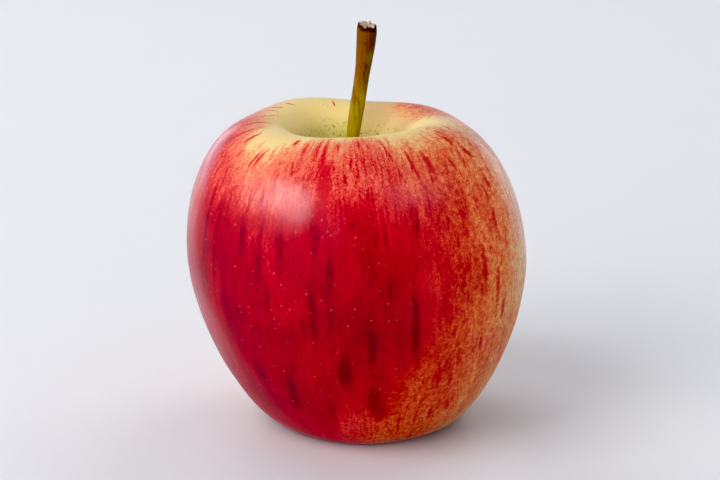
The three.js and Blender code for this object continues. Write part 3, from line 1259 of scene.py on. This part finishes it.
@dataclass
class Stem:
    """The woody stem: a ridged, swaying stalk with a swollen, broken end.

    Lengths are in millimetres.
    """

    root: float = 50.0
    end: float = 88.2
    rows: int = 230
    sides: int = 96
    end_rows: int = 16
    radius: float = 1.4
    # Each swelling's size and the heights between which it grows.
    swellings: tuple = ((0.15, 58.0, 53.0), (0.13, 64.0, 71.0), (0.57, 76.0, 87.2))
    ridges: int = 5
    ridge_depth: float = 0.045
    twist: float = 0.02
    fine_ridges: tuple = (9, 14, 23, 31)
    fine_depth: float = 0.16  # shared out among the fine ridges of one ring
    fine_drift: float = 0.03  # radians for each millimetre
    knots: int = 9
    knot_heights: tuple = (56.0, 86.0)
    knot_depths: tuple = (-0.05, 0.07)
    knot_size: tuple = (0.5, 1.1)  # radians round and millimetres up
    root_x: float = -1.95
    sway: float = 4.2
    sway_from: float = 52.0
    sway_to: float = 92.0
    tilt_from: float = 84.0
    end_tilt: tuple = (-0.15, 0.24)
    end_dish: float = 0.35
    end_lip: float = 0.30
    shoulder: float = 0.08
    torn_waves: tuple = (3, 5, 7, 11, 13)
    torn_depth: float = 0.10
    centre: tuple = (-0.23, -0.38)
    seed: int = 7

    def build(self, bark: Material) -> Object:
        """Makes the stem's mesh.

        Args:
            bark: the finished stem material.

        Returns:
            The dressed stem.
        """
        rings, along = self._rings()
        count, around, _ = rings.shape
        first, last, top = count * around, count * around + 1, (count - 1) * around
        ring = np.arange(around)
        pairs = list(zip(ring, np.roll(ring, -1)))
        fans = [(first, b, a) for a, b in pairs] + [(last, top + a, top + b) for a, b in pairs]
        vertices = np.vstack([rings.reshape(-1, 3), rings[0].mean(axis=0), rings[-1].mean(axis=0)])
        piece = smooth_mesh("apple_stem", vertices * MM, ring_faces(count, around) + fans, bark)
        write_numbers(piece.data, Attribute.ALONG, np.append(along.repeat(around), (0.0, along[-1])))
        return dress(piece, Packed.STEM)

    def _radius(self, height: np.ndarray) -> np.ndarray:
        """The stem's radius at each height."""
        return sum((size * step(height, low, high) for size, low, high in self.swellings), self.radius)

    def _rings(self) -> tuple[np.ndarray, np.ndarray]:
        """Rings of points from the root, up the side and in over the broken end.

        Returns:
            The rings in millimetres, and for each the share of the stem's length below it, which
            goes on past 1 over the broken end.
        """
        rng = np.random.default_rng(self.seed)
        side = np.linspace(self.root, self.end, self.rows)
        inward = np.linspace(1.0, 0.04, self.end_rows)[1:]
        lip = self.end_lip * np.sin(math.pi * np.clip((1.0 - inward) / 0.4, 0.0, 1.0))
        heights = np.concatenate([side, self.end + lip - self.end_dish * step(inward, 0.8, 0.3)])
        shares = np.concatenate([np.ones_like(side), inward])
        along = np.concatenate([np.linspace(0.0, 1.0, self.rows), 1.0 + 0.3 * (1.0 - inward)])

        angle = np.linspace(0.0, 2.0 * math.pi, self.sides, endpoint=False)
        level, turn = np.meshgrid(heights, angle, indexing="ij")
        share = np.repeat(shares[:, None], self.sides, axis=1)
        ridge = self._ridge(level, turn, rng)
        shoulder = 1.0 - self.shoulder * step(level, self.end - 1.6, self.end + 0.2) ** 2
        spread = self._radius(np.minimum(level, self.end)) * ridge * share * shoulder
        x, y = spread * np.cos(turn), spread * np.sin(turn)
        torn = sum(
            np.cos(k * turn + rng.uniform(0.0, 6.28)) * np.sin(0.5 * k * share + rng.uniform(0.0, 6.28))
            for k in self.torn_waves
        )
        z = level + step(level, self.tilt_from, self.end) * (self.end_tilt[0] * x + self.end_tilt[1] * y)
        z = z + self.torn_depth * torn * step(level, self.end - 0.6, self.end) * step(share, 0.05, 0.4)
        bend = self.root_x + self.sway * step(level, self.sway_from, self.sway_to)
        return np.stack([x + bend - self.centre[0], y - self.centre[1], z], axis=-1), along

    def _ridge(self, level: np.ndarray, turn: np.ndarray, rng: np.random.Generator) -> np.ndarray:
        """How far the bark stands in or out at each point: long ridges, fine ones and a few knots.

        Args:
            level: heights.
            turn: radians round the stem.
            rng: where the random places are drawn.

        Returns:
            Numbers about 1, times the radius.
        """
        ridge = 1.0 + self.ridge_depth * np.cos(self.ridges * (turn - self.twist * level))
        for count in self.fine_ridges:
            phase = rng.uniform(0.0, 2.0 * math.pi)
            drift = rng.uniform(-self.fine_drift, self.fine_drift)
            waver = 0.4 * np.sin(0.5 * level + phase)
            ridge += self.fine_depth / count * np.cos(count * turn + phase + drift * level + waver)
        for _ in range(self.knots):
            height, azimuth = rng.uniform(*self.knot_heights), rng.uniform(0.0, 2.0 * math.pi)
            across = np.angle(np.exp(1j * (turn - azimuth))) / self.knot_size[0]
            apart = across**2 + ((level - height) / self.knot_size[1]) ** 2
            ridge += rng.uniform(*self.knot_depths) * np.exp(-apart)
        return ridge


# ---------------------------------------------------------------- calyx


@dataclass
class Calyx:
    """The dried calyx in the basin: a button, five curling sepals and the tuft of stamens.

    Lengths are in millimetres.
    """

    sepal_spread: tuple = (0.35, 0.15, 0.50, 0.25, 0.40)
    first_azimuth: float = 84.0  # degrees
    sepal_length: float = 5.6
    sepal_width: float = 3.0
    sepal_thickness: float = 0.75
    sepal_tip: float = 0.2
    sepal_root: tuple = (1.5, 7.1)  # radius and height
    curl: tuple = (2.34, -2.3)  # radians, and what the spread takes from it
    stamens: int = 17
    stamen_length: float = 3.3
    stamen_radius: float = 0.17
    stamen_ring: tuple = (0.35, 1.25)
    stamen_turn: float = 2.4  # radians from each to the next, near the golden angle
    stamen_spread: tuple = (0.0, 0.45)
    stamen_share: tuple = (0.72, 1.0)  # of the full length
    button_radius: float = 2.6
    button: tuple = (6.6, 9.0)  # lowest and highest
    wrinkle: float = 0.22
    centre: tuple = (1.602, 0.38)
    seed: int = 11

    def build(self, dried: Material) -> Object:
        """Makes the calyx's mesh.

        Args:
            dried: the finished calyx material.

        Returns:
            The dressed calyx.
        """
        piece = self._group().run(self._places(), dried, "apple_calyx")
        return dress(piece, Packed.CALYX)

    def _places(self) -> Object:
        """One point for each sepal and stamen, with its azimuth, spread, length share and ring.

        Returns:
            The mesh object that the calyx is grown from.
        """
        rng = np.random.default_rng(self.seed)
        sepals = len(self.sepal_spread)
        number = np.arange(sepals + self.stamens)
        azimuth = np.radians(self.first_azimuth + 360.0 / sepals * number)
        azimuth[sepals:] = self.stamen_turn * number[sepals:]
        spread = np.array([*self.sepal_spread, *rng.uniform(*self.stamen_spread, self.stamens)])
        share = np.append(np.ones(sepals), rng.uniform(*self.stamen_share, self.stamens))
        ring = np.append(np.zeros(sepals), rng.uniform(*self.stamen_ring, self.stamens))
        mesh = bpy.data.meshes.new("calyx_places")
        mesh.from_pydata([(0.0, 0.0, 0.0)] * len(number), [], [])
        write_numbers(mesh, Attribute.STAMEN, number >= sepals)
        write_numbers(mesh, Attribute.AZIMUTH, azimuth)
        write_numbers(mesh, Attribute.SPREAD, spread)
        write_numbers(mesh, Attribute.SHARE, share)
        write_numbers(mesh, Attribute.RING, ring)
        return placed("calyx_places", mesh)

    def _group(self) -> Group:
        """The group that grows a sepal or a stamen from each point, round the button.

        Returns:
            The group, which starts from the points.
        """
        sizes = {
            "Sepal length": self.sepal_length,
            "Sepal width": self.sepal_width,
            "Sepal thickness": self.sepal_thickness,
            "Stamen length": self.stamen_length,
            "Stamen radius": self.stamen_radius,
            "Wrinkle": self.wrinkle,
        }
        group = Group("dried_calyx", "Places", sizes)
        strip = group.node("GeometryNodeMeshCube", {}, {"Vertices X": 26, "Vertices Y": 13, "Vertices Z": 4})
        thread = group.node(
            "GeometryNodeMeshCylinder", {}, {"Vertices": 12, "Side Segments": 22, "Radius": 1.0, "Depth": 1.0}
        )
        ball = group.node("GeometryNodeMeshUVSphere", {}, {"Segments": 64, "Rings": 32, "Radius": 1.0})
        is_stamen = group.read(Attribute.STAMEN)
        bodies = (
            self._shaped(group, self._copies(group, strip, 1.0 - is_stamen), self._sepal(group)),
            self._shaped(group, self._copies(group, thread, is_stamen), self._stamen(group)),
            self._shaped(group, ball.outputs["Mesh"], self._button(group)),
        )
        joined = group.node("GeometryNodeJoinGeometry")
        for body in bodies:
            group.tree.links.new(body, joined.inputs[0])
        group.end(joined.outputs[0])
        return group

    @staticmethod
    def _copies(group: Group, shape: Node, chosen: Value) -> NodeSocket:
        """One copy of the shape for each chosen point, made real.

        Args:
            group: the geometry group.
            shape: the node that makes the shape.
            chosen: 1 for the points that get a copy.

        Returns:
            The copies' geometry.
        """
        sockets = {"Mesh": group.given["Places"], "Selection": chosen}
        points = group.node("GeometryNodeMeshToPoints", {}, sockets)
        sockets = {"Points": points.outputs[0], "Instance": shape.outputs["Mesh"]}
        copies = group.node("GeometryNodeInstanceOnPoints", {}, sockets)
        return group.node("GeometryNodeRealizeInstances", {}, {0: copies.outputs[0]}).outputs[0]

    def _shaped(self, group: Group, body: NodeSocket, places: Places) -> NodeSocket:
        """Moves a body's points to their places round the calyx's own axis.

        Args:
            group: the geometry group.
            body: the geometry to move.
            places: where each point goes, and what the finish reads: 0 at the root, 1 at the tip.

        Returns:
            The moved geometry.
        """
        place, along = places
        stored = group.store(body, Attribute.ALONG.value, along)
        return group.moved(stored, group.vector("ADD", place, (*self.centre, 0.0)))

    @staticmethod
    def _turned(group: Group, x: Value, y: Value, z: Value) -> NodeSocket:
        """A place turned about the vertical by the copy's azimuth.

        Args:
            group: the geometry group.
            x: outwards.
            y: sideways.
            z: upwards.

        Returns:
            The turned place.
        """
        azimuth = group.read(Attribute.AZIMUTH)
        east, north = azimuth.cos(), azimuth.sin()
        return group.joined(x * east - y * north, x * north + y * east, z)

    def _sepal(self, group: Group) -> Places:
        """A sepal: a cupped, wrinkled strip that narrows and curls down to its tip.

        Args:
            group: the geometry group.

        Returns:
            Each point's place and its share along.
        """
        x, y, z = group.parts(group.here())
        along, side, face = x + 0.5, 2.0 * y, 2.0 * z
        azimuth, spread = group.read(Attribute.AZIMUTH), group.read(Attribute.SPREAD)
        folds = group.noise(group.joined(along * 1.4 + azimuth * 9.0, side * 1.3, 0.0), 2.0, 0.55, 1.6) - 0.5
        hem = group.noise(group.joined(along * 6.0, azimuth * 9.0, side.smooth(-1.0, 1.0)), 1.0, 0.5) - 0.5
        narrow = 1.0 - (1.0 - self.sepal_tip) * along**1.5
        narrow = narrow * (1.0 - 0.75 * along.smooth(0.86, 1.0)) * (1.0 + 0.35 * hem)
        thin = (1.0 - 0.15 * along) * (1.0 - 0.6 * side * side)
        across = 0.5 * group.size("Sepal width") * side * narrow
        height = 0.5 * group.size("Sepal thickness") * face * thin
        height = height + 0.5 * side * side * (1.0 - along) + 4.0 * group.size("Wrinkle") * folds * along
        curl = self.curl[0] + self.curl[1] * spread
        turn, middle = spread + curl * along, spread + 0.5 * curl * along
        length = group.size("Sepal length") * along
        reach = self.sepal_root[0] + length * middle.cos() + height * turn.sin()
        drop = self.sepal_root[1] - length * middle.sin() + height * turn.cos()
        return self._turned(group, reach, across, drop), along

    def _stamen(self, group: Group) -> Places:
        """A stamen: a thin bent thread with a small dried knob.

        Args:
            group: the geometry group.

        Returns:
            Each point's place and its share along.
        """
        x, y, z = group.parts(group.here())
        along = 0.5 - z
        azimuth, lean = group.read(Attribute.AZIMUTH), group.read(Attribute.SPREAD)
        length = group.size("Stamen length") * group.read(Attribute.SHARE)
        knob = along.smooth(0.82, 0.90) * along.smooth(1.02, 0.95)
        thick = group.size("Stamen radius") * (1.2 - 0.5 * along + 0.9 * knob)
        bend = 0.35 * ((along * 3.0 + azimuth * 5.0).sin() - (azimuth * 5.0).sin())
        reach = group.read(Attribute.RING) + length * lean * along + bend + thick * x
        drop = self.button[0] + 0.5 - length * along
        return self._turned(group, reach, thick * y + 0.6 * bend, drop), along

    def _button(self, group: Group) -> Places:
        """The button: a lumpy dried cushion.

        Args:
            group: the geometry group.

        Returns:
            Each point's place and its share along.
        """
        here = group.here()
        lumps = 1.0 + 0.5 * group.size("Wrinkle") * (group.noise(here, 3.0, 0.6, 2.5) - 0.6)
        x, y, z = group.parts(here)
        low, high = self.button
        level = 0.5 * (low + high) + 0.5 * (high - low) * z * lumps
        radius = self.button_radius * lumps
        return group.joined(x * radius, y * radius, level), 0.2 * lumps


# ---------------------------------------------------------------- studio


class Use(Enum):
    """What a softbox is for."""

    LIGHT = "light"
    GLOSS = "gloss"


class Lit(Enum):
    """What a softbox's light falls on."""

    ALL = "all"
    APPLE = "apple"
    FLOOR = "floor"


@dataclass(frozen=True)
class Softbox:
    """A rectangular soft light that points at the apple."""

    name: str
    place: tuple  # metres
    size: tuple  # metres
    power: float  # watts
    colour: tuple = WHITE
    use: Use = Use.LIGHT
    lit: Lit = Lit.ALL
    aim: tuple = (0.0, 0.0, 0.04)

    def build(self) -> Object:
        """Makes the light.

        Returns:
            The light, in the scene.
        """
        data = bpy.data.lights.new(self.name, "AREA")
        data.shape = "RECTANGLE"
        data.size, data.size_y = self.size
        data.energy = self.power
        data.color = self.colour
        light = placed(self.name, data)
        light.location = self.place
        light.rotation_euler = (Vector(self.aim) - Vector(self.place)).to_track_quat("-Z", "Y").to_euler()
        light.visible_camera = False
        light.visible_glossy = self.use is Use.GLOSS
        light.visible_diffuse = self.use is Use.LIGHT
        if self.lit is not Lit.ALL:
            light.light_linking.receiver_collection = bpy.data.collections[self.lit.value]
        return light


@dataclass
class Studio:
    """A pale seamless backdrop all round, soft lights and the camera."""

    floor_rings: tuple = (0.001, 0.1, 0.3, 0.6)
    floor_radius: float = 0.9
    bend_radius: float = 0.7
    bend_rings: int = 16
    wall_height: float = 2.2
    sides: int = 96
    lens: float = 100.0
    sensor: float = 36.0
    elevation: float = 16.0
    distance: float = 0.44
    target: tuple = (0.00079, 0.00038, 0.0406)
    surround: tuple = (0.8, 0.95, 1.2)
    surround_strength: float = 0.22
    black_level: tuple = (0.024, 0.028, 0.022)
    lights: tuple = (
        Softbox("key", (-0.727, -0.37, 0.46), (0.5, 0.4), 3.0, lit=Lit.APPLE),
        Softbox("front", (-0.24, -0.896, 0.36), (0.6, 0.4), 5.1, (0.99, 1.0, 1.01), lit=Lit.APPLE),
        Softbox("top", (0.55, -0.15, 1.2), (1.0, 1.0), 2.7, lit=Lit.APPLE),
        Softbox("rear_left", (-0.46, 0.796, 0.811), (1.0, 1.0), 6.7, lit=Lit.APPLE),
        Softbox("rear_right", (0.527, 0.753, 0.811), (1.0, 1.0), 0.65, lit=Lit.APPLE),
        Softbox("floor_front", (-0.7, -0.8, 0.5), (0.6, 0.5), 3.2, lit=Lit.FLOOR),
        Softbox("floor_left", (-0.8, -0.5, 1.0), (0.8, 0.8), 7.7, lit=Lit.FLOOR),
        Softbox("floor_rear_left", (-0.5, 0.8, 1.0), (0.8, 0.8), 4.8, lit=Lit.FLOOR),
        Softbox("floor_rear_right", (0.6, 0.7, 1.0), (0.8, 0.8), 3.9, lit=Lit.FLOOR),
        Softbox("key_gloss", (-0.75, -0.3, 0.515), (0.62, 0.29), 12.0, use=Use.GLOSS),
        Softbox("fill_gloss", (0.58, -0.36, 0.58), (0.3, 0.22), 1.0, use=Use.GLOSS),
        Softbox("right_gloss", (0.85, 0.85, 0.26), (0.8, 0.5), 0.9, use=Use.GLOSS),
        Softbox("left_gloss", (-0.68, 0.87, 0.2), (0.8, 0.5), 1.4, (0.95, 0.97, 1.15), Use.GLOSS),
    )

    def build(self, pieces: Sequence[Object]) -> None:
        """Makes the backdrop, the lights and the camera.

        Args:
            pieces: the apple's meshes, for the lights that leave the floor out.
        """
        for lit, objects in ((Lit.APPLE, pieces), (Lit.FLOOR, [self._backdrop()])):
            receivers = bpy.data.collections.new(lit.value)
            for item in objects:
                receivers.objects.link(item)
        for light in self.lights:
            light.build()
        self._world()
        self._camera()
        view = bpy.context.scene.view_settings
        view.view_transform = "Standard"
        view.use_curve_mapping = True
        view.curve_mapping.black_level = self.black_level

    def _backdrop(self) -> Object:
        """A round floor that turns up into a wall, in one smooth sheet.

        Returns:
            The backdrop, in the scene.
        """
        bend = np.linspace(0.0, 0.5 * math.pi, self.bend_rings)
        radii = self.floor_radius + self.bend_radius * np.sin(bend)
        heights = self.bend_radius * (1.0 - np.cos(bend))
        floor = [(radius, 0.0) for radius in self.floor_rings]
        profile = [*floor, *zip(radii, heights), (radii[-1], self.wall_height)]
        turn = np.linspace(0.0, 2.0 * math.pi, self.sides, endpoint=False)
        rings = np.array([[(r * math.cos(a), r * math.sin(a), h) for a in turn] for r, h in profile])
        faces = [tuple(range(self.sides)), *ring_faces(len(profile), self.sides)]
        backdrop = smooth_mesh("backdrop", rings.reshape(-1, 3), faces, Paper().build())
        return backdrop

    def _world(self) -> None:
        """A dim, even surround."""
        world = bpy.data.worlds.new("surround")
        world.use_nodes = True
        world.node_tree.nodes.clear()
        graph = Graph(world.node_tree)
        sockets = {"Color": (*self.surround, 1.0), "Strength": self.surround_strength}
        shader = graph.node("ShaderNodeBackground", {}, sockets)
        graph.node("ShaderNodeOutputWorld", {}, {"Surface": shader.outputs[0]})
        bpy.context.scene.world = world

    def _camera(self) -> None:
        """A long lens in front of the apple, a little above it."""
        data = bpy.data.cameras.new("camera")
        data.lens = self.lens
        data.sensor_width = self.sensor
        data.dof.use_dof = False
        camera = placed("camera", data)
        tilt = math.radians(self.elevation)
        back = Vector((0.0, -math.cos(tilt), math.sin(tilt)))
        camera.location = Vector(self.target) + back * self.distance
        camera.rotation_euler = (-back).to_track_quat("-Z", "Y").to_euler()
        bpy.context.scene.camera = camera


def main() -> None:
    """Builds the apple and its studio."""
    logging.basicConfig(level=logging.INFO, format="%(name)s %(message)s")
    pieces = [
        Fruit().build(Skin().build()),
        Stem().build(StemBark().build()),
        Calyx().build(DriedCalyx().build()),
    ]
    Studio().build(pieces)


if __name__ == "__main__":
    main()
